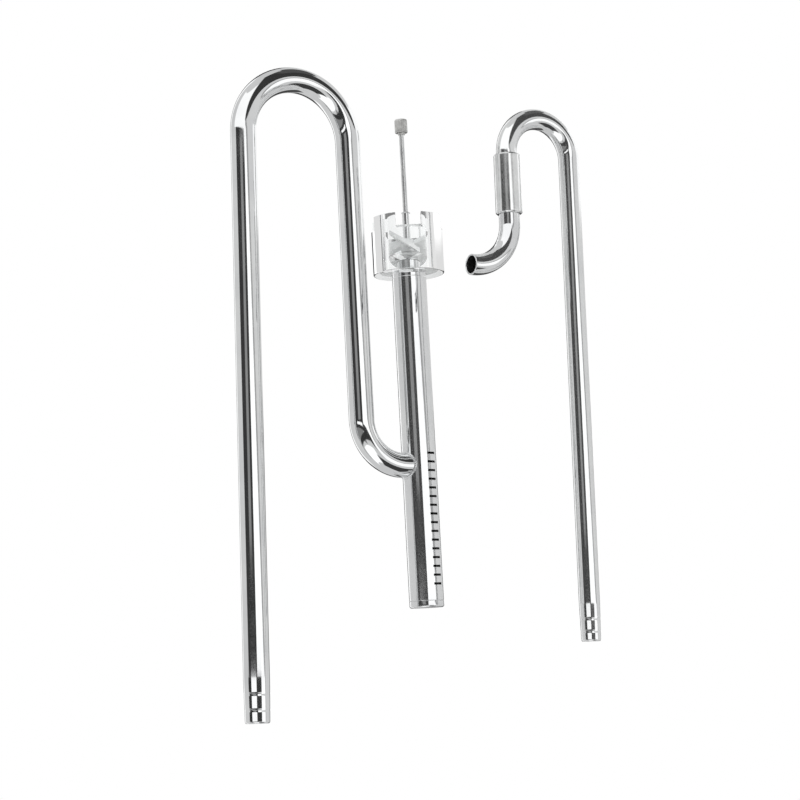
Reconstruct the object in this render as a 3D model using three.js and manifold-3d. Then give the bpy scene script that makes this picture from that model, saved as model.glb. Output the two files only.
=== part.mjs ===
// A polished steel inlet and outlet pipe set for a planted aquarium, in millimetres with +Z up.
// The inlet pipe hangs over the tank's rim by its large bend and carries a surface skimmer: a slotted
// barrel with a clear toothed crown on top and a rod that throttles the water coming in over the crown.
// The outlet pipe stands beside it, with a nozzle that swivels in a coupling sleeve.
// The origin is where the inlet bend sits on the rim: the lowest point of the tube's underside at the top.
import * as THREE from 'three';
import { mergeVertices } from 'three/addons/utils/BufferGeometryUtils.js';
import Module from 'manifold-3d';

const wasm = await Module();
wasm.setup();

// Clearances
const seatGap = 0.3; // between pieces that seat in or on one another
const slideGap = 0.2; // around the rod in its guide
const ringGap = 0.15; // between a sealing ring and the round surface inside it

// Inlet pipe
const inletDiameter = 16;
const inletWall = 1;
const inletBendRadius = 37.4; // centre line of the bend over the rim
const inletHoseEndDepth = 393.6; // from the rim down to the hose end
const inletNeckDiameter = 15.3; // the drawn-in end that the hose slides over
const inletNeckLength = 25.5;
const inletGrooveFromEnd = 8; // from the hose end to the lower groove
const inletGroovePitch = 9.6;
const portDepth = 237; // down the inner leg's length to the axis of the branch into the barrel
const elbowRadius = 29.2;
const elbowRun = 0.7; // straight tube between the elbow and the barrel
const weldWidth = 0.9;
const weldHeight = 0.7;
const innerLean = 1.2; // degrees by which the inner leg and all it carries lean away from the hose leg

// Rolled grooves that grip a hose
const neckTaper = 2;
const grooveWidth = 2.4;
const grooveDepth = 0.5;
const grooveCount = 2;

// Skimmer barrel
const barrelDiameter = 22;
const barrelWall = 1;
const barrelDepth = 323.1; // from the rim down to the barrel's lower edge
const crownFloorDepth = 102; // from the rim down to the floor inside the crown
const crownLedge = 1.5; // clear material between that floor and the barrel's upper edge
const stopGrooveWidth = 2.6;
const stopGrooveDepth = 0.4;
const slotCount = 16;
const slotPitch = 5.52;
const slotHeight = 1.25;
const slotWidth = 6.6; // across the barrel
const slotRowFoot = 10.3; // from the barrel's lower edge up to the lowest slot of each row
const slotAzimuth = 75; // each row's turn from the side that faces away from the pipe, in degrees

// End cap
const capFlange = 4.1;
const capEdgeRadius = 1.3;
const capSpigotLength = 7;

// Crown
const crownDiameter = 46;
const crownWall = 4;
const crownHeight = 36.8;
const crownBase = 11; // from its underside up to the floor inside
const crownEdgeRadius = 0.7;
const throatDiameter = 18;
const toothCount = 4;
const notchDepth = 8.6;
const notchWidth = 16.5;
const firstNotchAzimuth = 242; // degrees from +X

// Insert in the crown: a hub that guides the rod, on vanes pitched like a propeller's blades
const vaneCount = 3;
const vaneThickness = 2.5;
const vanePitch = 32; // degrees from level, falling towards growing azimuth
const vaneSpan = 74; // degrees round the axis that one vane covers
const firstVaneAzimuth = 229; // degrees from +X
const hubWall = 1.5;
const hubLength = 8.4;
const hubRise = 4.2; // hub's lower face above the floor inside the crown
const hubFloor = 1; // under the guide sleeve's ring, at the foot of the hub's bore

// Rod, its guide sleeve and what it carries
const rodDiameter = 3;
const guideWall = 0.7;
const guideRise = 30; // guide sleeve's upper end above the floor inside the crown
const guideLip = 0.4;
const knobDiameter = 8.3;
const knobHeight = 8.6;
const knobChamfer = 0.5;
const knobFluteCount = 24;
const knobFluteDepth = 0.3;
const knobNeckHeight = 1.4;
const knobNeckWall = 0.6;
const knobRise = 83; // the knob's lower face above the floor inside the crown
const collarHeight = 2;
const collarWall = 1.4;
const plugGap = 0.7; // between the plug and the barrel's bore
const plugConeHeight = 3;
const plugRimHeight = 3;
const plugFace = 1; // flat ring round the collar on top of the cone
const plugOpening = 6; // how far the plug stands below its closed position
const nutSides = 6;
const nutAcross = 5.5;
const nutHeight = 2.4;
const rodTail = 1.2; // bare rod below the nut

// Sealing rings
const sealThickness = 1;
const guideSealThickness = 0.8;

// Outlet pipe
const outletDiameter = 13;
const outletWall = 1;
const outletBendRadius = 23.8;
const outletRimDepth = 29.1; // from the inlet's rim level down to where the outlet bend sits
const outletHoseEndDepth = 321.9; // from that seat down to the hose end
const outletNeckDiameter = 12.1;
const outletNeckLength = 22.7;
const outletGrooveFromEnd = 6.1;
const outletGroovePitch = 7.7;
const swivelAcross = 107.1; // from the origin to the swivel's axis, along the inlet pipe's plane
const swivelForward = 77.4; // and in front of that plane

// Coupling sleeve and nozzle
const sleeveDiameter = 16.6;
const sleeveLength = 38.2;
const sleeveAboveSpring = 1.4; // how far its top lies below the end of the bend
const sleeveChamfer = 0.8;
const sleeveGap = 0.3; // between the sleeve's bore and the tubes
const tubeJointGap = 1.6; // between the two tube ends inside the sleeve
const snapRingThickness = 0.8;
const snapRingDepth = 0.9; // how far the ring stands out of the nozzle's neck
const snapGrooveDepth = 0.4;
const nozzleNeckBelowSleeve = 6.1;
const nozzleBendRadius = 28;
const nozzleMouthRun = 2;

// Facets
const tubeSides = 20;
const turnedSides = 26;
const smallSides = 16;
const ringSections = 5;
const bendSteps = 14;
const elbowSteps = 8;

// Levels and radii that follow from the sizes above
const inletRadius = inletDiameter / 2;
const barrelRadius = barrelDiameter / 2;
const barrelBore = barrelRadius - barrelWall;
const outletRadius = outletDiameter / 2;
const innerLegX = inletBendRadius;
const inletSpring = inletRadius - inletBendRadius; // level of the inlet bend's centre
const lean = THREE.MathUtils.degToRad(innerLean);
// Pieces on the inner side are drawn upright, with the barrel's axis here, and then swung by the lean
const barrelX = innerLegX + elbowRadius + elbowRun + barrelRadius;
const crownFloor = -crownFloorDepth;
const crownUnderside = crownFloor - crownBase;
const crownTop = crownUnderside + crownHeight;
const barrelTop = crownFloor - crownLedge - seatGap;
const barrelBottom = -barrelDepth;

const steel = finish(0xd9dbdd, 0.12, 1);
const satinSteel = finish(0xb4b6b8, 0.35, 1);
const acrylic = finish(0xf1f5f5, 0.06, 0);
acrylic.transparent = true;
acrylic.opacity = 0.35;
const rubber = finish(0x1d1d1f, 0.7, 0);
const plugPlastic = finish(0x2b2c2e, 0.5, 0);

function finish(color, roughness, metalness) {
  return new THREE.MeshStandardMaterial({ color, roughness, metalness });
}

// Joins shared corners, drops flat triangles on an axis and turns the faces outward
function closed(geometry) {
  const bare = geometry.index ? geometry.toNonIndexed() : geometry.clone();
  bare.deleteAttribute('normal');
  bare.deleteAttribute('uv');
  const merged = mergeVertices(bare, 1e-4);
  const position = merged.attributes.position;
  const corners = merged.index.array;
  const kept = [];
  const [a, b, c] = [new THREE.Vector3(), new THREE.Vector3(), new THREE.Vector3()];
  let volume = 0;
  for (let i = 0; i < corners.length; i += 3) {
    const [p, q, r] = corners.subarray(i, i + 3);
    if (p === q || q === r || r === p) continue;
    kept.push([p, q, r]);
    a.fromBufferAttribute(position, p);
    b.fromBufferAttribute(position, q);
    c.fromBufferAttribute(position, r);
    volume += a.dot(b.cross(c));
  }
  merged.setIndex(kept.flatMap(([p, q, r]) => (volume < 0 ? [p, r, q] : [p, q, r])));
  return merged;
}

function toSolid(geometry) {
  const shape = closed(geometry);
  return new wasm.Manifold(new wasm.Mesh({
    numProp: 3,
    vertProperties: new Float32Array(shape.attributes.position.array),
    triVerts: new Uint32Array(shape.index.array),
  }));
}

function toGeometry(solid) {
  const mesh = solid.getMesh();
  const geometry = new THREE.BufferGeometry();
  geometry.setAttribute('position', new THREE.BufferAttribute(mesh.vertProperties, 3));
  geometry.setIndex(new THREE.BufferAttribute(mesh.triVerts, 1));
  return geometry;
}

// A round piece about the Z axis from its profile of [radius, height] points
function turned(profile, sides = turnedSides) {
  const points = profile.map(([radius, height]) => new THREE.Vector2(radius, height));
  return new THREE.LatheGeometry(points, sides).rotateX(Math.PI / 2);
}

// A ring of constant wall: its four corners, closed on the first
function ringProfile(inner, outer, bottom, top) {
  return [[inner, bottom], [outer, bottom], [outer, top], [inner, top], [inner, bottom]];
}

function disc(radius, bottom, top, sides = turnedSides) {
  return turned([[0, bottom], [radius, bottom], [radius, top], [0, top]], sides);
}

// Swings a shape of the inner side outward about the centre of the inlet bend
function leaned(geometry) {
  return geometry.translate(0, 0, -inletSpring).rotateY(-lean).translate(0, 0, inletSpring);
}

// A quarter round from one angle to another, in degrees, about a centre in the profile's plane
function roundCorner(centreRadius, centreHeight, radius, from, to, steps = 3) {
  return Array.from({ length: steps + 1 }, (_, i) => {
    const angle = THREE.MathUtils.degToRad(from + ((to - from) * i) / steps);
    return [centreRadius + radius * Math.cos(angle), centreHeight + radius * Math.sin(angle)];
  });
}

// A sealing ring that lies around a round surface
function sealingRing(surfaceRadius, level, thickness) {
  const section = thickness / 2;
  const ring = new THREE.TorusGeometry(surfaceRadius + ringGap + section, section, ringSections, tubeSides);
  return ring.translate(0, 0, level);
}

// Places copies of a cutter round the Z axis, at even turns from a first azimuth in degrees
function aroundAxis(count, firstAzimuth, makeCutter) {
  return Array.from({ length: count }, (_, i) => {
    const azimuth = THREE.MathUtils.degToRad(firstAzimuth + (360 * i) / count);
    return toSolid(makeCutter().rotateZ(azimuth));
  });
}

// The centre line of a bent tube in an upright plane: straight runs and arcs, with a station at each
// place where the tube bends, changes width or ends
class TubeRoute extends THREE.Curve {
  constructor(startX, startZ, heading) {
    super();
    this.heading = THREE.MathUtils.degToRad(heading);
    this.place = new THREE.Vector3(startX, 0, startZ);
    this.stations = [];
    this.mark();
  }

  direction() {
    return new THREE.Vector3(Math.cos(this.heading), 0, Math.sin(this.heading));
  }

  mark() {
    this.stations.push({ point: this.place.clone(), tangent: this.direction() });
  }

  run(length) {
    this.place.addScaledVector(this.direction(), length);
    this.mark();
    return this;
  }

  // Turns left by a positive angle in degrees, right by a negative one
  turn(angle, radius, steps) {
    const side = Math.sign(angle);
    const start = this.heading;
    const centre = this.place.clone();
    centre.x -= side * radius * Math.sin(start);
    centre.z += side * radius * Math.cos(start);
    for (let i = 1; i <= steps; i += 1) {
      this.heading = start + (THREE.MathUtils.degToRad(angle) * i) / steps;
      this.place.x = centre.x + side * radius * Math.sin(this.heading);
      this.place.z = centre.z - side * radius * Math.cos(this.heading);
      this.mark();
    }
    return this;
  }

  station(u) {
    return this.stations[Math.round(u * (this.stations.length - 1))];
  }

  getPointAt(u, target = new THREE.Vector3()) {
    return target.copy(this.station(u).point);
  }

  getTangentAt(u, target = new THREE.Vector3()) {
    return target.copy(this.station(u).tangent);
  }
}

// A tube of even wall swept along a route
function sweptTube(route, outerRadius, wall) {
  const section = new THREE.Shape().absarc(0, 0, outerRadius, 0, 2 * Math.PI);
  section.holes.push(new THREE.Path().absarc(0, 0, outerRadius - wall, 0, 2 * Math.PI));
  return new THREE.ExtrudeGeometry(section, {
    steps: route.stations.length - 1,
    curveSegments: tubeSides / 2,
    extrudePath: route,
  });
}

// Heights above the hose end at which the neck needs a station, from the end upward
function neckStations(neck) {
  const heights = [];
  for (let i = 0; i < grooveCount; i += 1) {
    const centre = neck.grooveFromEnd + i * neck.groovePitch;
    for (const share of [-0.5, -0.25, 0, 0.25, 0.5]) heights.push(centre + share * grooveWidth);
  }
  heights.push(neck.length, neck.length + neckTaper);
  return heights;
}

// How far the tube's wall is drawn in at a height above the hose end: a narrow neck that widens over a
// short cone, with rolled grooves of cosine section
function drawnIn(height, neck) {
  const taper = THREE.MathUtils.clamp((neck.length + neckTaper - height) / neckTaper, 0, 1);
  let depth = taper * neck.narrowing;
  for (let i = 0; i < grooveCount; i += 1) {
    const away = Math.abs(height - neck.grooveFromEnd - i * neck.groovePitch) / (grooveWidth / 2);
    if (away < 1) depth += (grooveDepth * (1 + Math.cos(Math.PI * away))) / 2;
  }
  return depth;
}

// Rolls the neck and its grooves into the upright leg that stands at legX and ends at endZ
function rollNeck(geometry, legX, endZ, neck) {
  const position = geometry.attributes.position;
  const place = new THREE.Vector3();
  for (let i = 0; i < position.count; i += 1) {
    place.fromBufferAttribute(position, i);
    if (Math.abs(place.x - legX) > neck.legRadius + seatGap) continue;
    const radius = Math.hypot(place.x - legX, place.y);
    const share = (radius - drawnIn(place.z - endZ, neck)) / radius;
    position.setXYZ(i, legX + (place.x - legX) * share, place.y * share, place.z);
  }
  return geometry;
}

function startHoseLeg(route, neck) {
  let from = 0;
  for (const height of neckStations(neck)) {
    route.run(height - from);
    from = height;
  }
  return from;
}

const inletNeck = {
  legRadius: inletRadius,
  narrowing: (inletDiameter - inletNeckDiameter) / 2,
  length: inletNeckLength,
  grooveFromEnd: inletGrooveFromEnd,
  groovePitch: inletGroovePitch,
};
const outletNeck = {
  legRadius: outletRadius,
  narrowing: (outletDiameter - outletNeckDiameter) / 2,
  length: outletNeckLength,
  grooveFromEnd: outletGrooveFromEnd,
  groovePitch: outletGroovePitch,
};

// The inlet pipe: hose leg, bend over the rim, inner leg and the elbow that is welded to the barrel
function intakePipe() {
  const endZ = -inletHoseEndDepth;
  const route = new TubeRoute(-inletBendRadius, endZ, 90);
  const neckTop = startHoseLeg(route, inletNeck);
  route.run(inletSpring - endZ - neckTop);
  route.turn(innerLean - 180, inletBendRadius, bendSteps);
  route.run(inletSpring + portDepth - elbowRadius);
  route.turn(90, elbowRadius, elbowSteps);
  route.run(elbowRun + 0.7 * barrelRadius);
  const tube = rollNeck(sweptTube(route, inletRadius, inletWall), -inletBendRadius, endZ, inletNeck);

  const barrelSpace = barrelCylinder(barrelRadius + seatGap);
  const weldBand = barrelCylinder(barrelRadius + seatGap + weldHeight).subtract(barrelSpace);
  const weldRing = turned(ringProfile(
    inletRadius - inletWall / 2, inletRadius + weldWidth, 0, elbowRun + barrelRadius,
  ), tubeSides).rotateY(Math.PI / 2).translate(innerLegX + elbowRadius, 0, -portDepth);
  const weld = toSolid(leaned(weldRing)).intersect(weldBand);
  return toGeometry(toSolid(tube).subtract(barrelSpace).add(weld));
}

// A round bar on the barrel's axis that reaches past the branch both ways
function barrelCylinder(radius) {
  const reach = 2 * inletDiameter;
  return toSolid(leaned(disc(radius, -portDepth - reach, -portDepth + reach).translate(barrelX, 0, 0)));
}

// The barrel's wall at a height, rolled in by a shallow groove that lies just under the crown
function barrelProfile() {
  const grooveTop = crownUnderside;
  const quarter = stopGrooveWidth / 4;
  const steps = [
    [0, barrelBottom],
    [0, grooveTop - 4 * quarter],
    [stopGrooveDepth, grooveTop - 3 * quarter],
    [stopGrooveDepth, grooveTop - quarter],
    [0, grooveTop],
    [0, barrelTop],
  ];
  const outside = steps.map(([depth, height]) => [barrelRadius - depth, height]);
  const inside = steps.map(([depth, height]) => [barrelBore - depth, height]).reverse();
  return [...outside, ...inside, outside[0]];
}

function skimmerBarrel() {
  let barrel = toSolid(turned(barrelProfile()));
  const port = new THREE.CylinderGeometry(
    inletRadius - inletWall, inletRadius - inletWall, barrelRadius, tubeSides,
  ).rotateZ(Math.PI / 2).translate(-barrelRadius, 0, -portDepth);
  barrel = barrel.subtract(toSolid(port));
  for (const side of [-1, 1]) {
    for (let i = 0; i < slotCount; i += 1) {
      const slot = new THREE.BoxGeometry(4 * barrelWall, slotWidth, slotHeight)
        .translate(barrelRadius, 0, barrelBottom + slotRowFoot + i * slotPitch)
        .rotateZ(THREE.MathUtils.degToRad(side * slotAzimuth));
      barrel = barrel.subtract(toSolid(slot));
    }
  }
  return toGeometry(barrel);
}

// The plug that closes the barrel's lower end: a rounded flange and a spigot with a groove for its ring
function barrelEndCap() {
  const spigot = barrelBore - seatGap;
  const flangeTop = barrelBottom - seatGap;
  const bottom = flangeTop - capFlange;
  const grooveTop = flangeTop + capSpigotLength / 2 + sealThickness;
  const grooveBottom = flangeTop + capSpigotLength / 2 - sealThickness;
  const grooveRadius = spigot - sealThickness;
  return turned([
    [0, bottom],
    ...roundCorner(barrelRadius - capEdgeRadius, bottom + capEdgeRadius, capEdgeRadius, -90, 0),
    [barrelRadius, flangeTop],
    [spigot, flangeTop],
    [spigot, grooveBottom],
    [grooveRadius, grooveBottom],
    [grooveRadius, grooveTop],
    [spigot, grooveTop],
    [spigot, flangeTop + capSpigotLength],
    [0, flangeTop + capSpigotLength],
  ]);
}

function endCapSeal() {
  const grooveRadius = barrelBore - seatGap - sealThickness;
  return sealingRing(grooveRadius, barrelBottom - seatGap + capSpigotLength / 2, sealThickness);
}

// Level of the ring that seals the crown on the barrel, halfway up the socket
const crownSealLevel = (barrelTop + crownUnderside) / 2;

// The clear crown: a flat-floored cup on a thick base, whose socket takes the barrel and whose rim is
// cut into teeth that let surface water in
function skimmerCrown() {
  const outer = crownDiameter / 2;
  const inner = outer - crownWall;
  const socket = barrelRadius + seatGap;
  const socketTop = barrelTop + seatGap;
  const grooveRadius = barrelRadius + ringGap + sealThickness + ringGap;
  const profile = [
    [socket, crownUnderside],
    ...roundCorner(outer - crownEdgeRadius, crownUnderside + crownEdgeRadius, crownEdgeRadius, -90, 0),
    [outer, crownTop],
    [inner, crownTop],
    [inner, crownFloor],
    [throatDiameter / 2, crownFloor],
    [throatDiameter / 2, socketTop],
    [socket, socketTop],
    [socket, crownSealLevel + sealThickness],
    [grooveRadius, crownSealLevel + sealThickness],
    [grooveRadius, crownSealLevel - sealThickness],
    [socket, crownSealLevel - sealThickness],
    [socket, crownUnderside],
  ];
  const notches = aroundAxis(toothCount, firstNotchAzimuth, () => new THREE.BoxGeometry(
    3 * crownWall, notchWidth, 2 * notchDepth,
  ).translate(outer, 0, crownTop));
  return toGeometry(notches.reduce((crown, notch) => crown.subtract(notch), toSolid(turned(profile))));
}

// Levels of the insert and of what its hub holds
const insertFoot = crownFloor + seatGap;
const hubBottom = crownFloor + hubRise;
const hubTop = hubBottom + hubLength;
const guideRadius = rodDiameter / 2 + slideGap + guideWall;
const hubBore = guideRadius + seatGap;
const hubShoulder = hubBottom + hubFloor;
const guideSealLevel = hubShoulder + seatGap + guideSealThickness / 2;
const guideBottom = guideSealLevel + guideSealThickness / 2 + seatGap;
const guideTop = crownFloor + guideRise;

// The clear insert that stands on the crown's floor: the hub and its pitched vanes, which reach out to
// the crown's inner wall. A vane is a flat plate, tilted about its own radial line and cut to a sector.
function vaneInsert() {
  const rim = crownDiameter / 2 - crownWall - seatGap;
  const pitch = THREE.MathUtils.degToRad(vanePitch);
  const halfSpan = THREE.MathUtils.degToRad(vaneSpan / 2);
  const halfRise = rim * Math.sin(halfSpan) * Math.tan(pitch) + vaneThickness / 2 / Math.cos(pitch);
  const middle = insertFoot + halfRise;
  const inside = hubBore + hubWall / 2;
  const hub = turned([
    [rodDiameter / 2 + seatGap, hubBottom],
    [hubBore + hubWall, hubBottom],
    [hubBore + hubWall, hubTop],
    [hubBore, hubTop],
    [hubBore, hubShoulder],
    [rodDiameter / 2 + seatGap, hubShoulder],
    [rodDiameter / 2 + seatGap, hubBottom],
  ], tubeSides);
  const reach = 2 * rim;
  const sectorOutline = new THREE.Shape([[0, 0], [reach, -reach * Math.tan(halfSpan)],
    [reach, reach * Math.tan(halfSpan)]].map(([x, y]) => new THREE.Vector2(x, y)));
  const sector = toSolid(new THREE.ExtrudeGeometry(sectorOutline, {
    depth: 4 * halfRise,
    bevelEnabled: false,
  }).translate(0, 0, middle - 2 * halfRise));
  const ring = toSolid(turned(ringProfile(inside, rim, insertFoot, middle + halfRise)));
  const vanes = aroundAxis(vaneCount, firstVaneAzimuth, () => {
    const plate = new THREE.BoxGeometry(reach, 2 * reach, vaneThickness)
      .rotateX(-pitch).translate(reach / 2, 0, middle);
    return toGeometry(toSolid(plate).intersect(sector));
  });
  return toGeometry(vanes.reduce((insert, vane) => insert.add(vane.intersect(ring)), toSolid(hub)));
}

// The steel sleeve that guides the rod, with a small lip round its upper end
function rodGuideSleeve() {
  const bore = rodDiameter / 2 + slideGap;
  return turned([
    [bore, guideBottom],
    [guideRadius, guideBottom],
    [guideRadius, guideTop - 2 * guideLip],
    [guideRadius + guideLip, guideTop - guideLip],
    [guideRadius, guideTop],
    [bore, guideTop],
    [bore, guideBottom],
  ], tubeSides);
}

// Levels of the pieces on the rod. The plug's cone meets the throat's lower edge when it is closed.
const throatEdge = barrelTop + seatGap;
const plugRadius = barrelBore - plugGap;
const plugTopRadius = rodDiameter / 2 + collarWall + plugFace;
const closedShare = (throatDiameter / 2 - plugTopRadius) / (plugRadius - plugTopRadius);
const plugTop = throatEdge - seatGap + closedShare * plugConeHeight - plugOpening;
const plugBottom = plugTop - plugConeHeight - plugRimHeight;
const nutBottom = plugBottom - seatGap - nutHeight;
const knobBottom = crownFloor + knobRise;
const carriedBore = rodDiameter / 2 + ringGap;

function adjustingRod() {
  const chamfer = rodDiameter / 10;
  const [radius, bottom, top] = [rodDiameter / 2, nutBottom - rodTail, knobBottom + knobHeight / 2];
  return turned([
    [0, bottom],
    [radius - chamfer, bottom],
    [radius, bottom + chamfer],
    [radius, top],
    [0, top],
  ], smallSides);
}

// The knob: a fluted barrel with chamfered edges, a small neck and a blind bore for the rod
function adjusterKnob() {
  const radius = knobDiameter / 2;
  const points = Array.from({ length: 2 * knobFluteCount }, (_, i) => {
    const angle = (Math.PI * i) / knobFluteCount;
    const reach = i % 2 ? radius - knobFluteDepth : radius;
    return new THREE.Vector2(reach * Math.cos(angle), reach * Math.sin(angle));
  });
  const fluted = new THREE.ExtrudeGeometry(new THREE.Shape(points), {
    depth: knobHeight,
    bevelEnabled: false,
  }).translate(0, 0, knobBottom);
  const top = knobBottom + knobHeight;
  const envelope = turned([
    [0, knobBottom],
    [radius - knobChamfer, knobBottom],
    [radius, knobBottom + knobChamfer],
    [radius, top - knobChamfer],
    [radius - knobChamfer, top],
    [0, top],
  ], 2 * knobFluteCount);
  const neck = disc(
    carriedBore + knobNeckWall, knobBottom - knobNeckHeight, knobBottom + knobChamfer, smallSides,
  );
  const bore = disc(
    carriedBore, knobBottom - 2 * knobNeckHeight, knobBottom + knobHeight / 2 + seatGap, smallSides,
  );
  return toGeometry(toSolid(fluted).intersect(toSolid(envelope)).add(toSolid(neck))
    .subtract(toSolid(bore)));
}

function rodStopCollar() {
  const bottom = plugTop + seatGap;
  return turned(ringProfile(carriedBore, rodDiameter / 2 + collarWall, bottom, bottom + collarHeight),
    smallSides);
}

// The plug: a shallow cone that closes the throat from below, on a short rim
function throttlePlug() {
  return turned([
    [carriedBore, plugBottom],
    [plugRadius, plugBottom],
    [plugRadius, plugTop - plugConeHeight],
    [plugTopRadius, plugTop],
    [carriedBore, plugTop],
    [carriedBore, plugBottom],
  ]);
}

function plugNut() {
  const reach = nutAcross / 2 / Math.cos(Math.PI / nutSides);
  const outline = new THREE.Shape(Array.from({ length: nutSides }, (_, i) => {
    const angle = (2 * Math.PI * i) / nutSides;
    return new THREE.Vector2(reach * Math.cos(angle), reach * Math.sin(angle));
  }));
  outline.holes.push(new THREE.Path().absarc(0, 0, carriedBore, 0, 2 * Math.PI, true));
  return new THREE.ExtrudeGeometry(outline, {
    depth: nutHeight,
    bevelEnabled: false,
    curveSegments: smallSides / 2,
  }).translate(0, 0, nutBottom);
}

// Levels of the outlet pipe, measured in its own upright plane
const outletSeat = -outletRimDepth;
const outletSpring = outletSeat + outletRadius - outletBendRadius;
const sleeveTop = outletSpring - sleeveAboveSpring;
const sleeveBottom = sleeveTop - sleeveLength;
const outletTubeEnd = (sleeveTop + sleeveBottom) / 2 + tubeJointGap / 2;
const nozzleTop = outletTubeEnd - tubeJointGap;
const snapRingLevel = nozzleTop - 3 * snapRingThickness;
const sleeveSealLevels = [
  (sleeveTop + outletTubeEnd) / 2,
  snapRingLevel + (sleeveBottom - snapRingLevel) / 3,
  snapRingLevel + ((sleeveBottom - snapRingLevel) * 2) / 3,
];

// The outlet pipe stands with its short leg on the swivel's axis and its hose leg one bend further out
function returnPipe() {
  const endZ = outletSeat - outletHoseEndDepth;
  const legX = 2 * outletBendRadius;
  const route = new TubeRoute(legX, endZ, 90);
  const neckTop = startHoseLeg(route, outletNeck);
  route.run(outletSpring - endZ - neckTop);
  route.turn(180, outletBendRadius, bendSteps);
  route.run(outletSpring - outletTubeEnd);
  return rollNeck(sweptTube(route, outletRadius, outletWall), legX, endZ, outletNeck);
}

// The sleeve over both tube ends: chamfered outside, with inner grooves for its rings
function couplingSleeve() {
  const outer = sleeveDiameter / 2;
  const bore = outletRadius + sleeveGap;
  const grooves = [
    ...sleeveSealLevels.map((level) => ({
      level,
      half: sealThickness / 2 + ringGap,
      reach: outletRadius + ringGap + sealThickness + ringGap / 2,
    })),
    {
      level: snapRingLevel,
      half: snapRingThickness / 2 + seatGap,
      reach: outletRadius + snapRingDepth + ringGap,
    },
  ].sort((a, b) => a.level - b.level);
  return turned([
    [bore, sleeveBottom],
    [outer - sleeveChamfer, sleeveBottom],
    [outer, sleeveBottom + sleeveChamfer],
    [outer, sleeveTop - sleeveChamfer],
    [outer - sleeveChamfer, sleeveTop],
    [bore, sleeveTop],
    ...grooves.reverse().flatMap(({ level, half, reach }) => [
      [bore, level + half],
      [reach, level + half],
      [reach, level - half],
      [bore, level - half],
    ]),
    [bore, sleeveBottom],
  ]);
}

// The nozzle: a straight neck that turns in the sleeve, an elbow and an open mouth that faces -X
function nozzleElbow() {
  const route = new TubeRoute(0, nozzleTop, -90);
  route.run(nozzleTop - sleeveBottom + nozzleNeckBelowSleeve);
  route.turn(-90, nozzleBendRadius, elbowSteps);
  route.run(nozzleMouthRun);
  const half = snapRingThickness / 2 + ringGap;
  const groove = turned(ringProfile(
    outletRadius - snapGrooveDepth, outletRadius + 1, snapRingLevel - half, snapRingLevel + half,
  ), tubeSides);
  return toGeometry(toSolid(sweptTube(route, outletRadius, outletWall)).subtract(toSolid(groove)));
}

// The open spring ring that keeps the nozzle in the sleeve
function snapRing() {
  const outline = new THREE.Shape();
  const opening = THREE.MathUtils.degToRad(12);
  const inner = outletRadius - snapGrooveDepth + ringGap;
  outline.absarc(0, 0, outletRadius + snapRingDepth, opening, 2 * Math.PI - opening, false);
  outline.absarc(0, 0, inner, 2 * Math.PI - opening, opening, true);
  return new THREE.ExtrudeGeometry(outline, {
    depth: snapRingThickness,
    bevelEnabled: false,
    curveSegments: tubeSides / 2,
  }).translate(0, 0, snapRingLevel - snapRingThickness / 2);
}

function piece(name, geometry, material) {
  const mesh = new THREE.Mesh(closed(geometry), material);
  mesh.name = name;
  return mesh;
}

// Everything on the barrel's axis, which leans with the inner leg
const skimmer = new THREE.Group();
skimmer.position.set(barrelX, 0, -inletSpring);
skimmer.add(
  piece('skimmer_barrel', skimmerBarrel(), steel),
  piece('barrel_end_cap', barrelEndCap(), steel),
  piece('end_cap_seal', endCapSeal(), rubber),
  piece('skimmer_crown', skimmerCrown(), acrylic),
  piece('crown_seal', sealingRing(barrelRadius, crownSealLevel, sealThickness), rubber),
  piece('vane_insert', vaneInsert(), acrylic),
  piece('rod_guide_sleeve', rodGuideSleeve(), steel),
  piece('rod_seal', sealingRing(rodDiameter / 2, guideSealLevel, guideSealThickness), rubber),
);

// The rod and what moves with it
const throttle = new THREE.Group();
throttle.add(
  piece('adjusting_rod', adjustingRod(), steel),
  piece('adjuster_knob', adjusterKnob(), satinSteel),
  piece('rod_stop_collar', rodStopCollar(), steel),
  piece('throttle_plug', throttlePlug(), plugPlastic),
  piece('plug_nut', plugNut(), steel),
);
skimmer.add(throttle);

// Everything on the swivel's axis
const outlet = new THREE.Group();
outlet.position.set(swivelAcross, -swivelForward, 0);
outlet.add(
  piece('return_pipe', returnPipe(), steel),
  piece('coupling_sleeve', couplingSleeve(), steel),
);
['upper', 'middle', 'lower'].forEach((place, i) => {
  const ring = sealingRing(outletRadius, sleeveSealLevels[i], sealThickness);
  outlet.add(piece(`sleeve_seal_${place}`, ring, rubber));
});

// The nozzle and the ring that turns with it
const nozzle = new THREE.Group();
nozzle.add(
  piece('nozzle_elbow', nozzleElbow(), steel),
  piece('nozzle_snap_ring', snapRing(), steel),
);
outlet.add(nozzle);

const innerSide = new THREE.Group();
innerSide.position.z = inletSpring;
innerSide.rotation.y = -lean;
innerSide.add(skimmer);

const pipeSet = new THREE.Group();
pipeSet.add(piece('intake_pipe', intakePipe(), steel), innerSide, outlet);

export default pipeSet;
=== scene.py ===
import math

import bpy
import numpy as np
from mathutils import Matrix, Vector


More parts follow.
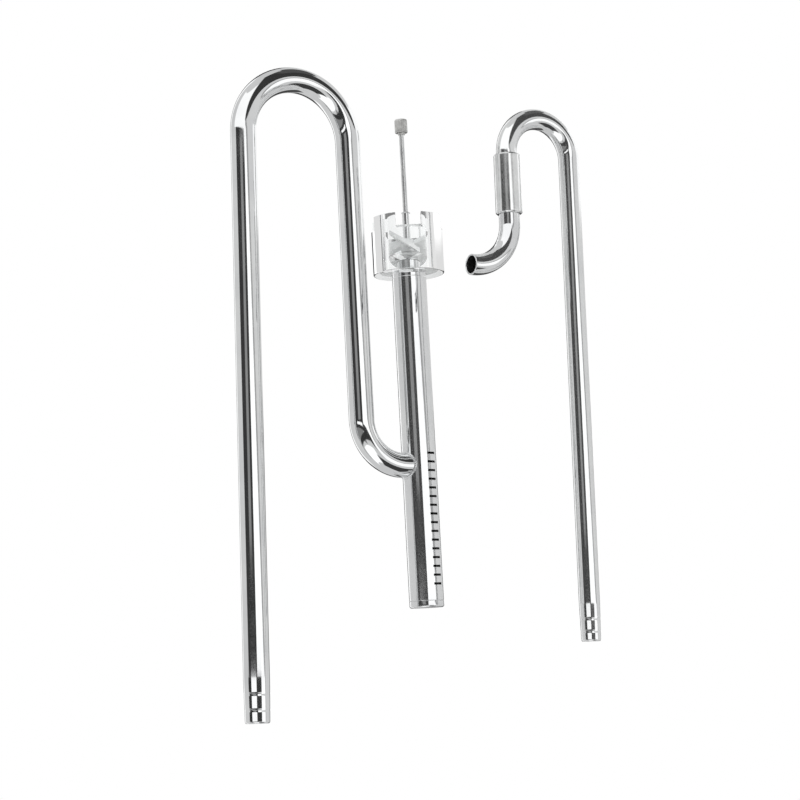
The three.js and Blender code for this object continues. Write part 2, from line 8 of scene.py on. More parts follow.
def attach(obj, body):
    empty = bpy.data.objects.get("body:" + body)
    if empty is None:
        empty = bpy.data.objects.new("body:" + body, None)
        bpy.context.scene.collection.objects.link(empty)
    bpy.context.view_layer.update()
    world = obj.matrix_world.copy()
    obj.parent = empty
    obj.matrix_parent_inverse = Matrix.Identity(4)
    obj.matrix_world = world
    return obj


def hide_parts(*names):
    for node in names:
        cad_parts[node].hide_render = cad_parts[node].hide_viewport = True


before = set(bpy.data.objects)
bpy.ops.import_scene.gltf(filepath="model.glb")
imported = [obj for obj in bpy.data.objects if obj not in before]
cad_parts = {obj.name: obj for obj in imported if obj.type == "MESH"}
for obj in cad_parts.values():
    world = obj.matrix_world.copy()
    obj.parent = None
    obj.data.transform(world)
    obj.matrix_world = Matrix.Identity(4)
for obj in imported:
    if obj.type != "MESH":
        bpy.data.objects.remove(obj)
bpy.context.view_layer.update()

# A polished steel inlet and outlet pipe set for an aquarium, with a slotted skimmer barrel, a clear notched
# crown and a swivelling nozzle. Lengths in the dictionaries are millimetres; meshes are written in metres.

scene = bpy.context.scene
scene.view_settings.view_transform = "Standard"


def newObject(name, data):
    made = bpy.data.objects.new(name, data)
    scene.collection.objects.link(made)
    return made


mm = 0.001
guardGap = 0.04    # from a curve to an extra row of points that keeps the side beside it evenly shaded
barrelAxis = (78.3, 0.0)
swivelAxis = (107.1, -77.4)

# The camera comes first: where it stands, and how it is turned, in the object's own frame
photoCamera = {
    "place": (-600.8, -1102.3, -376.1),
    "heading": 31.32,        # degrees from +Y towards +X
    "pitch": 8.05,           # looks up
    "roll": 2.0,
    "focalPixels": 2042.9,
    "imagePixels": 800,
    "sensor": 36.0,
    "clip": (0.01, 50.0),    # metres
}


def addCamera(p):
    # Unturned it looks straight down with +Y up. Its turns, from the last in the list to the first: it rolls,
    # tips up to level and on by the pitch, and swings to its heading.
    data = bpy.data.cameras.new("photoCamera")
    data.sensor_width = p["sensor"]
    data.lens = p["focalPixels"] / p["imagePixels"] * p["sensor"]
    data.clip_start, data.clip_end = p["clip"]
    camera = newObject("photoCamera", data)
    turns = ((-p["heading"], "Z"), (90 + p["pitch"], "X"), (-p["roll"], "Z"))
    camera.matrix_world = Matrix.Translation(Vector(p["place"]) * mm)
    for angle, axis in turns:
        camera.matrix_world @= Matrix.Rotation(math.radians(angle), 4, axis)
    scene.camera = camera


addCamera(photoCamera)
print("camera placed")


def toLinear(hexText):
    # sRGB hex to linear colour: below 0.04045 a straight share, above it a power of 2.4
    values = np.array([int(hexText[i:i + 2], 16) for i in (0, 2, 4)]) / 255.0
    linear = np.where(values <= 0.04045, values / 12.92, ((values + 0.055) / 1.055) ** 2.4)
    return (*linear.tolist(), 1.0)


def addNode(tree, kind, settings=None, links=None):
    # One node, with settings on sockets or properties, two ramp stops where asked, and links from sockets.
    # A node given in place of a socket stands for its first output.
    node = tree.nodes.new("ShaderNode" + kind)
    for key, value in (settings or {}).items():
        if key == "stops":
            for element, (position, hexText) in zip(node.color_ramp.elements, value):
                element.position, element.color = position, toLinear(hexText)
        elif isinstance(key, int) or key in node.inputs:
            node.inputs[key].default_value = value
        else:
            setattr(node, key, value)
    for key, source in (links or {}).items():
        tree.links.new(getattr(source, "outputs", [source])[0], node.inputs[key])
    return node


def newMaterial(name):
    material = bpy.data.materials.new(name)
    material.use_nodes = True
    material.node_tree.nodes.clear()
    return material, material.node_tree


def gridQuads(rows, columns, closeRows=False):
    # Cell (i, j) has corners (i, j), (i, j+1), (i+1, j+1), (i+1, j); columns close, and rows if asked
    i = np.arange(rows if closeRows else rows - 1)[:, None]
    j = np.arange(columns)[None, :]
    nextRow, nextColumn = (i + 1) % rows, (j + 1) % columns
    corners = [i * columns + j, i * columns + nextColumn,
               nextRow * columns + nextColumn, nextRow * columns + j]
    return np.stack(np.broadcast_arrays(*corners), -1).reshape(-1, 4)


def makeShell(points, quads, uvs, finish=0):
    # A closed surface. Its triangles' triple products add up to six times its volume; where that comes out
    # negative the faces point inwards, and are turned round.
    a, b, c, d = (points[quads[:, k]] for k in range(4))
    if (np.einsum("ij,ij->i", a, np.cross(b, c)) + np.einsum("ij,ij->i", a, np.cross(c, d))).sum() < 0:
        quads, uvs = quads[:, ::-1], uvs[:, ::-1]
    return {"points": points, "quads": quads, "uvs": uvs, "finish": finish}


def gridShell(points, along, around, closeRows=False, finish=0):
    # A grid made a shell. Its UV map runs (around j, along i); both lists hold one value more than cells.
    u, v = np.meshgrid(around, along)
    pairs = np.stack([u, v], -1) * mm
    uvs = np.stack([pairs[:-1, :-1], pairs[:-1, 1:], pairs[1:, 1:], pairs[1:, :-1]], 2).reshape(-1, 4, 2)
    return makeShell(points.reshape(-1, 3), gridQuads(*points.shape[:2], closeRows), uvs, finish)


def travelled(profile):
    # Running length along a closed line of points, back to its start
    return np.append(0.0, np.cumsum(np.linalg.norm(np.roll(profile, -1, 0) - profile, axis=1)))


def roundAngles(count):
    return np.linspace(0, 2 * np.pi, count, endpoint=False)


def roundAxis(axis, reach, turn, heights):
    # x = cx + r cos t, y = cy + r sin t, z = height, for whole arrays of r, t and height
    reach, turn, heights = np.broadcast_arrays(reach, turn, heights)
    return np.stack([axis[0] + reach * np.cos(turn), axis[1] + reach * np.sin(turn), heights], -1)


# The inlet's inner leg and all it carries are shaped upright and then swung outward about the bend's centre
lean = {"angle": 1.2, "centreZ": -29.4}


def leaned(points, share=1.0):
    # x' = x cos a - h sin a, h' = h cos a + x sin a, where h is the height over the bend's centre
    turn = math.radians(lean["angle"]) * share
    x, height = points[..., 0], points[..., 2] - lean["centreZ"]
    return np.stack([x * math.cos(turn) - height * math.sin(turn), points[..., 1],
                     height * math.cos(turn) + x * math.sin(turn) + lean["centreZ"]], -1)


def addPiece(node, shells, finishes, body="pipes", sharp=32.0, leans=False):
    # Joins the shells, welds equal points within each, and turns collapsed quads into triangles
    counts = [len(s["points"]) for s in shells]
    offsets = np.cumsum([0] + counts[:-1])
    points = np.concatenate([s["points"] for s in shells])
    if leans:
        points = leaned(points)
    quads = np.concatenate([s["quads"] + offset for s, offset in zip(shells, offsets)])
    uvs = np.concatenate([s["uvs"] for s in shells])
    finish = np.concatenate([np.zeros(len(s["quads"]), np.int32) + s["finish"] for s in shells])
    keys = np.column_stack([np.round(points, 4), np.repeat(np.arange(len(shells)), counts)])
    _, kept, same = np.unique(keys, axis=0, return_index=True, return_inverse=True)
    points, quads = points[kept], same.reshape(-1)[quads]
    collapsed = quads == np.roll(quads, -1, axis=1)
    whole, single = collapsed.sum(1) == 0, collapsed.sum(1) == 1
    corners = ~collapsed[single]
    triangles = quads[single][corners].reshape(-1, 3)
    head, *others = node.split("_")
    name = head + "".join(word.capitalize() for word in others)
    mesh = bpy.data.meshes.new(name)
    mesh.from_pydata(points * mm, [], quads[whole].tolist() + triangles.tolist())
    layer = mesh.uv_layers.new(name="surface")
    layer.data.foreach_set("uv", np.concatenate([uvs[whole].ravel(), uvs[single][corners].ravel()]))
    finishIndex = np.concatenate([finish[whole], finish[single]]).astype(np.int32)
    mesh.polygons.foreach_set("material_index", finishIndex)
    mesh.polygons.foreach_set("use_smooth", np.ones(len(mesh.polygons), bool))
    mesh.validate()
    mesh.set_sharp_from_angle(angle=math.radians(sharp))
    for material in finishes:
        mesh.materials.append(material)
    piece = newObject(name, mesh)
    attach(piece, body)
    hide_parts(node)
    print(name, len(mesh.polygons), "faces")
    return piece


def turnedShell(profile, axis, sides, ripple=None):
    # A closed profile of (radius, height) points carried round an upright axis; ripple(t, r, h) gives new radii
    turn = roundAngles(sides)
    reach, heights = np.broadcast_to(profile[:, :1], (len(profile), sides)), profile[:, 1:]
    if ripple is not None:
        reach = ripple(turn, reach, heights)
    around = np.linspace(0, 2 * np.pi, sides + 1) * profile[:, 0].max()
    return gridShell(roundAxis(axis, reach, turn, heights), travelled(profile), around, closeRows=True)


def addTurned(node, profile, sides, finish, body="pipes", axis=barrelAxis, sharp=32.0,
              ripple=None):
    # One turned piece; what stands on the barrel's axis leans with it
    shell = turnedShell(profile, axis, sides, ripple)
    addPiece(node, [shell], [finish], body, sharp, axis is barrelAxis)


def cornerArc(across, height, radius, start, end, steps=6):
    # Points round a centre, from one angle to another in degrees
    turn = np.radians(np.linspace(start, end, steps))
    return np.stack([across + radius * np.cos(turn), height + radius * np.sin(turn)], -1)


def roundedProfile(corners, steps=5):
    # A closed profile whose corners (r, z, radius) are eased by a curve: the point at share t between the two
    # tangent points and the corner is (1-t)^2 a + 2t(1-t) corner + t^2 b, with guard points on both sides.
    corners = np.asarray(corners, float)
    here = corners[:, :2]
    toBefore, toAfter = np.roll(here, 1, 0) - here, np.roll(here, -1, 0) - here
    sizeBefore, sizeAfter = (np.linalg.norm(side, axis=1, keepdims=True) for side in (toBefore, toAfter))
    toBefore, toAfter = toBefore / sizeBefore, toAfter / sizeAfter
    reach = np.minimum(corners[:, 2:3], 0.49 * np.minimum(sizeBefore, sizeAfter))
    a, b = here + toBefore * reach, here + toAfter * reach
    t = np.linspace(0, 1, steps)[None, :, None]
    curve = (1 - t) ** 2 * a[:, None] + 2 * t * (1 - t) * here[:, None] + t ** 2 * b[:, None]
    before = a + toBefore * np.minimum(guardGap, 0.1 * (sizeBefore - reach))
    after = b + toAfter * np.minimum(guardGap, 0.1 * (sizeAfter - reach))
    points = np.concatenate([before[:, None], curve, after[:, None]], 1).reshape(-1, 2)
    return points[np.linalg.norm(points - np.roll(points, 1, 0), axis=1) > 1e-4]


def moveLength(angle, size):
    # A move with angle 0 is a run of its size; any other is an arc of that radius, size times angle long
    return size * (abs(math.radians(angle)) or 1.0)


def followRoute(route, lengths):
    # Place and direction (x, z) at each length along a route in an upright plane: a run adds length times
    # direction; on an arc the heading turns by length / radius about its centre
    place, direction = np.zeros((len(lengths), 2)), np.zeros((len(lengths), 2))
    at, heading, done = np.array(route["start"], float), math.radians(route["heading"]), 0.0
    for number, (angle, size) in enumerate(route["moves"]):
        last, span = number == len(route["moves"]) - 1, moveLength(angle, size)
        here = (lengths >= done - 1e-9) & ((lengths < done + span) | last)
        gone = (lengths[here] - done)[:, None]
        forward = np.array([math.cos(heading), math.sin(heading)])
        if angle:
            radius = math.copysign(size, angle)
            toward = heading + gone / radius
            centre = at + radius * np.array([-forward[1], forward[0]])
            place[here] = centre + radius * np.hstack([np.sin(toward), -np.cos(toward)])
            heading += math.radians(angle)
            at = centre + radius * np.array([math.sin(heading), -math.cos(heading)])
        else:
            toward = heading + 0 * gone
            place[here] = at + gone * forward
            at = at + span * forward
        direction[here] = np.hstack([np.cos(toward), np.sin(toward)])
        done += span
    return place, direction


def stationLengths(route, fine):
    # Straight runs get a station every 5 mm, arcs one every 0.9 mm, and the fine stretch its own step
    stops, done = [[0.0]], 0.0
    for angle, size in route["moves"]:
        span, step = moveLength(angle, size), 0.9 if angle else 5.0
        guard = min(1.0, span / 2)
        even = np.linspace(0, span, max(int(span / step), 1) + 1)
        stops += [done + even, [done + guard, done + span - guard]]
        done += span
    return np.unique(np.round(np.concatenate([*stops, np.arange(*fine)]), 5))


def tubeWall(route, p, fine, drawnIn, plane, squareEnd=None):
    # The tube's wall as one closed strip: outside from the first end to the last, a lip, the bore back, a lip.
    # At each length stands a circle square to the route: place + r (cos t across + sin t sideways).
    total = sum(moveLength(*move) for move in route["moves"])
    half, lip, wall = p["diameter"] / 2, p["lip"], p["wall"]
    lengths = stationLengths(route, fine)
    lengths = lengths[(lengths > lip) & (lengths < total - lip)]
    outer = half - drawnIn(lengths)
    startOut, endOut = half - drawnIn(np.array([lip, total]))
    firstLip = np.concatenate([cornerArc(lip, startOut - wall + lip, lip, 270, 180),
                               cornerArc(lip, startOut - lip, lip, 180, 90)])
    lastLip = np.concatenate([cornerArc(total - lip, endOut - lip, lip, 90, 0),
                              cornerArc(total - lip, endOut - wall + lip, lip, 0, -90)])
    s = np.concatenate([firstLip[:, 0], lengths, lastLip[:, 0], lengths[::-1]])
    r = np.concatenate([firstLip[:, 1], outer, lastLip[:, 1], (outer - wall)[::-1]])[:, None]
    place, direction = followRoute(route, s)
    turn = roundAngles(p["sides"])
    points = np.stack([place[:, 0:1] - r * (direction[:, 1:2] * np.cos(turn)), plane + r * np.sin(turn),
                       place[:, 1:2] + r * (direction[:, 0:1] * np.cos(turn))], -1)
    if squareEnd is not None:
        points = squareEnd(points, s)
    finish = np.zeros((len(s), p["sides"]), int)
    finish[len(firstLip) + len(lengths) + len(lastLip) - 2:] = 1
    around = np.linspace(0, 2 * np.pi, p["sides"] + 1) * half
    return gridShell(points, np.append(s, s[0]), around, True, finish.ravel())


def hoseNeck(neck):
    # How far the wall is drawn in at a height above the hose end: a long shallow cone, a cosine hollow of the
    # groove's depth at each groove, and a rounded end, r - sqrt(r^2 - (r - height)^2)
    def drawn(height):
        share = np.clip((neck["length"] - height) / neck["length"], 0, 1)
        eased = np.where(share < neck["ease"], share ** 2 / (2 * neck["ease"]), share - neck["ease"] / 2)
        depth = neck["narrowing"] * eased / (1 - neck["ease"] / 2)
        for centre in neck["grooves"]:
            away = np.clip(np.abs(height - centre) / (neck["grooveWidth"] / 2), 0, 1)
            depth = depth + neck["grooveDepth"] * (1 + np.cos(np.pi * away)) / 2
        left = np.clip(neck["endRound"] - height, 0, None)
        return depth + neck["endRound"] - np.sqrt(neck["endRound"] ** 2 - left ** 2)
    return drawn


# In each look, patch is the size of a patch of tone, fine that of the fine pattern in each direction, and wave
# a wave's length and height; rough is the least and most roughness, over the pattern's values in roughRange.

# 304 stainless steel, mirror polished on a buffing wheel: bright and nearly neutral, with a soft waviness
# from bending and buffing, faint wiping haze, and fine buffing lines round the piece
polishedSteel = {
    "tones": [(0.35, "dfe0e1"), (0.62, "e9eaea")],
    "patch": 28.0, "patchNoise": {"Detail": 4.0, "Roughness": 0.6},
    "rough": (0.035, 0.085), "roughRange": (0.3, 0.72),
    "wave": (16.0, 0.0035),
    # Real buffing lines are about 0.02 mm apart; these are coarser so that they show
    "follows": "UV", "fine": (55.56, 0.4, 1000.0), "fineNoise": {"Detail": 3.0, "Roughness": 0.55},
    "fineHeight": 0.00012,
    "shader": {"Metallic": 1.0},
}
# The same steel with a thin film of buffing wax left on: a wide faint sheen that lifts its dark stripes
waxFilm = {"Metallic": 1.0, "Coat Weight": 1.0, "Coat Roughness": 0.5, "Coat IOR": 1.65}
buffedSteel = {**polishedSteel, "shader": waxFilm}
# Ground and fine-brushed 304 stainless: satin and a little greyer, so mirrored edges melt into soft stripes
groundSteel = {**polishedSteel, "tones": [(0.35, "c9cacb"), (0.62, "dadbdb")], "patch": 9.0,
               "rough": (0.17, 0.23), "wave": (12.0, 0.0003), "fine": (55.56, 0.3, 1000.0)}
# Fine-turned 304 stainless, wiped with a soft wheel: between mirror and satin, so its stripes end softly
turnedSteel = {**groundSteel, "tones": [(0.35, "e0e1e1"), (0.62, "edeeee")], "rough": (0.1, 0.14),
               "fineHeight": 0.00006, "shader": waxFilm}
# The same steel inside the tubes, drawn and left unpolished: dull, with long die lines along the bore.
# Its dark grey tone is painted shade, standing for the shade deep inside a tube, not the steel's own colour.
drawnBorePaintedShade = {
    "tones": [(0.3, "6f706f"), (0.7, "8f908f")], "patch": 11.11, "patchNoise": {"Detail": 3.0},
    "rough": (0.34, 0.52), "roughByFine": True,
    "follows": "UV", "fine": (0.7, 40.0, 1000.0), "fineNoise": {"Detail": 3.0}, "fineHeight": 0.004,
    "shader": {"Metallic": 1.0},
}
# Stainless steel with a straight knurl, left satin by the knurling wheel: soft grey sheen, burrs on ridges
knurledSteel = {
    "tones": [(0.32, "c8c8c6"), (0.66, "d9d9d7")], "patch": 2.5, "patchNoise": {"Detail": 2.0},
    "rough": (0.42, 0.52), "roughByFine": True,
    "follows": "Object", "fine": (0.5, 0.5, 0.5), "fineNoise": {"Detail": 4.0}, "fineHeight": 0.0008,
    "shader": {"Metallic": 1.0},
}
# Cast acrylic, turned and polished: clear with a cold tint, faint turning rings and a light haze of handling
castAcrylic = {
    "tones": [(0.36, "f4f6f6"), (0.6, "fafbfb")],
    "patch": 7.692, "patchNoise": {"Detail": 4.0, "Roughness": 0.62},
    "rough": (0.02, 0.07), "roughRange": (0.35, 0.7),
    "follows": "UV", "fine": (83.33, 1.1, 1000.0), "fineNoise": {"Detail": 2.0}, "fineHeight": 0.0012,
    "shader": {"Transmission Weight": 1.0, "IOR": 1.49},
}
# Injection-moulded acrylic, as the insert is made: the mould's fine texture leaves it milky against light
mouldedAcrylic = {**castAcrylic, "tones": [(0.36, "f4f6f6"), (0.6, "fbfcfc")], "rough": (0.16, 0.3),
                  "fine": (83.33, 0.6, 1000.0), "fineHeight": 0.004,
                  "shader": {"Transmission Weight": 0.25, "IOR": 1.49}}
# Nitrile rubber rings, moulded: black with a grey bloom, a dull sheen and a fine skin
nitrileRubber = {
    "tones": [(0.38, "161618"), (0.7, "2c2c2e")], "patch": 3.846, "patchNoise": {"Detail": 4.0},
    "rough": (0.5, 0.72),
    "follows": "Object", "fine": (0.25, 0.25, 0.25), "fineNoise": {"Detail": 3.0}, "fineHeight": 0.012,
    "shader": {"IOR": 1.52},
}
# Acetal, turned from bar: near black, waxy, with a fine turned grain
blackAcetal = {**nitrileRubber, "tones": [(0.38, "1d1e20"), (0.7, "303135")], "rough": (0.32, 0.5),
               "fine": (0.4, 0.4, 0.4), "fineHeight": 0.01, "shader": {"IOR": 1.48}}
# Silicone rubber ring, translucent: milky and soft, so it hardly shows in the clear crown
clearSilicone = {**nitrileRubber, "tones": [(0.38, "d3d7d7"), (0.7, "e3e7e7")], "rough": (0.35, 0.5),
                 "fine": (0.3, 0.3, 0.3), "fineHeight": 0.01,
                 "shader": {"Transmission Weight": 0.8, "IOR": 1.41}}


def makeFinish(name, look):
    # Patches on object coordinates set the tone, and they or the fine pattern the roughness; the fine pattern,
    # lines on the UV map or grains, gives the relief, over long waves where the look has them
    material, tree = newMaterial(name)
    place = addNode(tree, "TexCoord").outputs
    patches = addNode(tree, "TexNoise", {"Scale": 1000 / look["patch"], **look["patchNoise"]},
                      {"Vector": place["Object"]})
    tone = addNode(tree, "ValToRGB", {"stops": look["tones"]}, {"Fac": patches})
    spread = addNode(tree, "Mapping", {"Scale": [1000 / size for size in look["fine"]]},
                     {"Vector": place[look["follows"]]})
    fine = addNode(tree, "TexNoise", {"Scale": 1.0, **look["fineNoise"]}, {"Vector": spread})
    sockets = ("From Min", "From Max", "To Min", "To Max")
    rough = addNode(tree, "MapRange",
                    dict(zip(sockets, look.get("roughRange", (0.0, 1.0)) + look["rough"])),
                    {"Value": fine if look.get("roughByFine") else patches})
    relief = {"Height": fine}
    if "wave" in look:
        length, height = look["wave"]
        wave = addNode(tree, "TexNoise", {"Scale": 1000 / length, "Detail": 1.0},
                       {"Vector": place["Object"]})
        relief["Normal"] = addNode(tree, "Bump", {"Distance": height * mm}, {"Height": wave})
    bump = addNode(tree, "Bump", {"Distance": look["fineHeight"] * mm}, relief)
    shader = addNode(tree, "BsdfPrincipled", look["shader"],
                     {"Base Color": tone, "Roughness": rough, "Normal": bump})
    addNode(tree, "OutputMaterial", {}, {"Surface": shader})
    return material


steel = makeFinish("polishedStainless304", polishedSteel)
buffed = makeFinish("buffedStainless304", buffedSteel)
ground = makeFinish("brushedStainless304", groundSteel)
turned = makeFinish("turnedStainless304", turnedSteel)
# The bores' finish: dull steel darkened with painted shade
bore = makeFinish("drawnStainlessBorePaintedShade", drawnBorePaintedShade)
satin = makeFinish("knurledStainless", knurledSteel)
acrylic = makeFinish("polishedCastAcrylic", castAcrylic)
milky = makeFinish("mouldedAcrylic", mouldedAcrylic)
rubber = makeFinish("mouldedNitrileRubber", nitrileRubber)
acetal = makeFinish("turnedBlackAcetal", blackAcetal)
silicone = makeFinish("translucentSilicone", clearSilicone)
print("finishes made")

intake = {
    "diameter": 16.0, "wall": 1.0, "lip": 0.28, "sides": 112,
    "bendRadius": 37.4, "hoseEnd": -393.6, "port": -237.0, "elbowRadius": 29.2, "barrelRadius": 11.0,
    "endSpare": 4.0, "sunk": 0.1,    # how far the end runs on before it is cut, and how far it sinks in
    "neck": {"length": 28.0, "narrowing": 0.46, "ease": 0.25, "grooves": (8.0, 17.6), "grooveWidth": 2.4,
             "grooveDepth": 0.11, "endRound": 1.3},
    "neckRows": (0.3, 29.0, 0.16),
    "weldRadius": 0.75, "weldLift": 0.2, "weldRipples": 46, "rippleShare": 0.06,
    "beadSides": 14, "beadGirth": 4.7, "weldSteps": 240, "weldLength": 52.0,
}


def makeIntakePipe(p):
    springZ = p["diameter"] / 2 - p["bendRadius"]
    elbowEnd = p["bendRadius"] + p["elbowRadius"]
    lastRun = barrelAxis[0] - p["barrelRadius"] - elbowEnd + p["endSpare"]
    route = {"start": (-p["bendRadius"], p["hoseEnd"]), "heading": 90.0, "moves": [
        (0, springZ - p["hoseEnd"]), (lean["angle"] - 180.0, p["bendRadius"]),
        (0, springZ - p["port"] - p["elbowRadius"]), (90.0, p["elbowRadius"]), (0, lastRun)]}
    total = sum(moveLength(*move) for move in route["moves"])

    def meetBarrel(points, s):
        # Past the elbow, x runs to just under the barrel's side: xEnd = axis - sqrt(R^2 - y^2), before the lean
        share = np.clip((s - (total - lastRun)) / lastRun, 0, 1)[:, None]
        upright = leaned(points, -1.0)
        side = barrelAxis[0] - np.sqrt((p["barrelRadius"] - p["sunk"]) ** 2 - points[..., 1] ** 2)
        upright[..., 0] = np.where(share > 0, elbowEnd + share * (side - elbowEnd), upright[..., 0])
        return np.where(share[..., None] > 0, leaned(upright), points)

    tube = tubeWall(route, p, p["neckRows"], hoseNeck(p["neck"]), 0.0, meetBarrel)
    # The weld: a small round bead carried along the line where tube and barrel meet, with faint even ripples
    turn = roundAngles(p["weldSteps"])
    section = roundAngles(p["beadSides"])[:, None]
    reach = p["diameter"] / 2 + p["weldLift"]
    y, z = reach * np.sin(turn), p["port"] + reach * np.cos(turn)
    x = barrelAxis[0] - np.sqrt((p["barrelRadius"] + p["weldLift"]) ** 2 - y ** 2)
    size = p["weldRadius"] * (1 + p["rippleShare"] * np.cos(p["weldRipples"] * turn))
    points = leaned(np.stack([x - size * np.cos(section), y + size * np.sin(section) * np.sin(turn),
                              z + size * np.sin(section) * np.cos(turn)], -1))
    weld = gridShell(points, np.linspace(0, p["beadGirth"], p["beadSides"] + 1),
                     np.linspace(0, p["weldLength"], p["weldSteps"] + 1), closeRows=True)
    addPiece("intake_pipe", [tube, weld], [steel, bore])


makeIntakePipe(intake)

outlet = {
    "diameter": 13.0, "wall": 1.0, "lip": 0.28, "sides": 96,
    "bendRadius": 23.8, "rimDepth": 29.1, "hoseEnd": -351.0, "tubeEnd": -66.1,
    "neck": {"length": 25.0, "narrowing": 0.48, "ease": 0.1, "grooves": (6.1, 13.8), "grooveWidth": 2.2,
             "grooveDepth": 0.11, "endRound": 1.1},
    "neckRows": (0.3, 26.0, 0.16),
}


def makeReturnPipe(p):
    springZ = -p["rimDepth"] + p["diameter"] / 2 - p["bendRadius"]
    route = {"start": (swivelAxis[0] + 2 * p["bendRadius"], p["hoseEnd"]), "heading": 90.0, "moves": [
        (0, springZ - p["hoseEnd"]), (180.0, p["bendRadius"]), (0, springZ - p["tubeEnd"])]}
    tube = tubeWall(route, p, p["neckRows"], hoseNeck(p["neck"]), swivelAxis[1])
    addPiece("return_pipe", [tube], [buffed, bore])


makeReturnPipe(outlet)

nozzle = {
    "diameter": 13.0, "wall": 1.0, "lip": 0.3, "sides": 96,
    "top": -67.7, "bendStart": -92.1, "bendRadius": 28.0, "mouthRun": 2.0,
    "ringLevel": -70.1, "ringThickness": 0.8, "ringReach": 0.9, "ringEdge": 0.12,
    "ringGap": 12.0, "ringSteps": 118,    # half the ring's gap in degrees, and points round it
    "grooveDepth": 0.4, "groovePlay": 0.15, "grooveSlope": 0.1,
    "grooveRows": (0.8, 0.05),    # reach of its fine rows to either side, and their step
}


def makeNozzle(p):
    route = {"start": (swivelAxis[0], p["top"]), "heading": -90.0, "moves": [
        (0, p["top"] - p["bendStart"]), (-90.0, p["bendRadius"]), (0, p["mouthRun"])]}
    at, half, play = p["top"] - p["ringLevel"], p["ringThickness"] / 2, p["groovePlay"]

    def ringGroove(s):
        # A square groove for the spring ring, with steep sides
        away = np.abs(s - at) - half - play
        return p["grooveDepth"] * np.clip(0.5 - away / p["grooveSlope"], 0, 1)

    near, step = p["grooveRows"]
    tube = tubeWall(route, p, (at - near, at + near, step), ringGroove, swivelAxis[1])
    addPiece("nozzle_elbow", [tube], [buffed, bore], "nozzle")
    # The open spring ring: a rounded bar swept round the axis, with flat closed ends at its gap
    radius, e = p["diameter"] / 2, p["ringEdge"]
    inner, outer = radius - p["grooveDepth"] + play, radius + p["ringReach"]
    section = roundedProfile([(inner, -half, e), (outer, -half, e), (outer, half, e), (inner, half, e)], 4)
    middle, gap = section.mean(0), math.radians(p["ringGap"])
    spread = np.pad(np.ones(p["ringSteps"]), 1)[:, None]
    turn = np.pad(np.linspace(gap, 2 * np.pi - gap, p["ringSteps"]), 1, "edge")[:, None]
    reach = middle[0] + (section[:, 0] - middle[0]) * spread
    points = roundAxis(swivelAxis, reach, turn, p["ringLevel"] + (section[:, 1] - middle[1]) * spread)
    ring = gridShell(points, np.arange(float(len(points))), np.arange(len(section) + 1.0))
    addPiece("nozzle_snap_ring", [ring], [steel], "nozzle")


makeNozzle(nozzle)

sleeve = {
    "diameter": 16.6, "bore": 13.6, "top": -47.8, "bottom": -86.0, "chamfer": 0.8,
    "ease": 0.25, "boreEase": 0.1, "grooveEase": 0.05,
    # level, half height and depth: a rubber ring, the spring ring, two rubber rings
    "grooves": [(-56.95, 0.65, 0.93), (-70.1, 0.7, 0.75), (-75.4, 0.65, 0.93), (-80.7, 0.65, 0.93)],
}


def makeSleeve(p):
    # Outside with chamfered ends, inside with square grooves
    outer, inner, low, high = p["diameter"] / 2, p["bore"] / 2, p["bottom"], p["top"]
    c, e, g = p["chamfer"], p["ease"], p["grooveEase"]
    corners = [(inner, low, p["boreEase"]), (outer - c, low, e), (outer, low + c, e),
               (outer, high - c, e), (outer - c, high, e), (inner, high, p["boreEase"])]
    for level, half, depth in p["grooves"]:
        corners += [(inner, level + half, g), (inner + depth, level + half, g),
                    (inner + depth, level - half, g), (inner, level - half, g)]
    addTurned("coupling_sleeve", roundedProfile(corners, 4), 128, turned, axis=swivelAxis)


makeSleeve(sleeve)

sealRings = {    # axis, level, ring radius, section radius, finish
    "sleeve_seal_upper": (swivelAxis, -56.95, 7.15, 0.5, rubber),
    "sleeve_seal_middle": (swivelAxis, -75.4, 7.15, 0.5, rubber),
    "sleeve_seal_lower": (swivelAxis, -80.7, 7.15, 0.5, rubber),
    "end_cap_seal": (barrelAxis, -319.9, 9.35, 0.5, rubber),
    "crown_seal": (barrelAxis, -108.4, 11.15, 0.12, silicone),
    "rod_seal": (barrelAxis, -96.1, 2.05, 0.35, rubber),
}


def makeSeals(rings):
    # Each ring is a circle of its section radius carried round the axis at its own radius and level
    turn = roundAngles(20)
    for node, (axis, level, radius, section, finish) in rings.items():
        profile = np.stack([radius + section * np.cos(turn), level + section * np.sin(turn)], -1)
        addTurned(node, profile, 96, finish, axis=axis)


makeSeals(sealRings)
print("outlet pipe, nozzle, sleeve and rings made")


def cutSide(width, radius):
    # Degrees from a cut's middle to its side on a round wall: asin(half width / radius)
    return math.degrees(math.asin(width / 2 / radius))


def wallWithCuts(outerGrid, innerGrid, keep, arc):
    # Two matching grids of points, outer and inner, with cells left out: kept cells give a face on each grid,
    # and every border between a kept and a missing cell gives a face that joins the two. The inner grid takes
    # the second finish. The UV map runs by the arc, each column's distance round the wall, and by height.
    rows, columns = outerGrid.shape[:2]
    count = rows * columns
    outerQuads = gridQuads(rows, columns).reshape(rows - 1, columns, 4)[keep]

    def joining(a, b, turnedRound):
        face = np.stack([a, b, b + count, a + count], -1)
        return np.where(turnedRound[:, None], face[:, ::-1], face)

    padded = np.pad(keep, ((1, 1), (0, 0)))
    i, j = np.nonzero(padded[1:] != padded[:-1])
    across = joining(i * columns + j, i * columns + (j + 1) % columns, padded[i, j])
    i, j = np.nonzero(keep != np.roll(keep, -1, 1))
    upward = joining(i * columns + (j + 1) % columns, (i + 1) * columns + (j + 1) % columns, ~keep[i, j])
    points = np.concatenate([outerGrid.reshape(-1, 3), innerGrid.reshape(-1, 3)])
    quads = np.concatenate([outerQuads, outerQuads[:, ::-1] + count, across, upward])
    uvs = np.stack([np.tile(arc, 2 * rows), points[:, 2]], -1)[quads] * mm
    finish = np.zeros(len(quads), int)
    finish[len(outerQuads):2 * len(outerQuads)] = 1
    return points, quads, uvs, finish


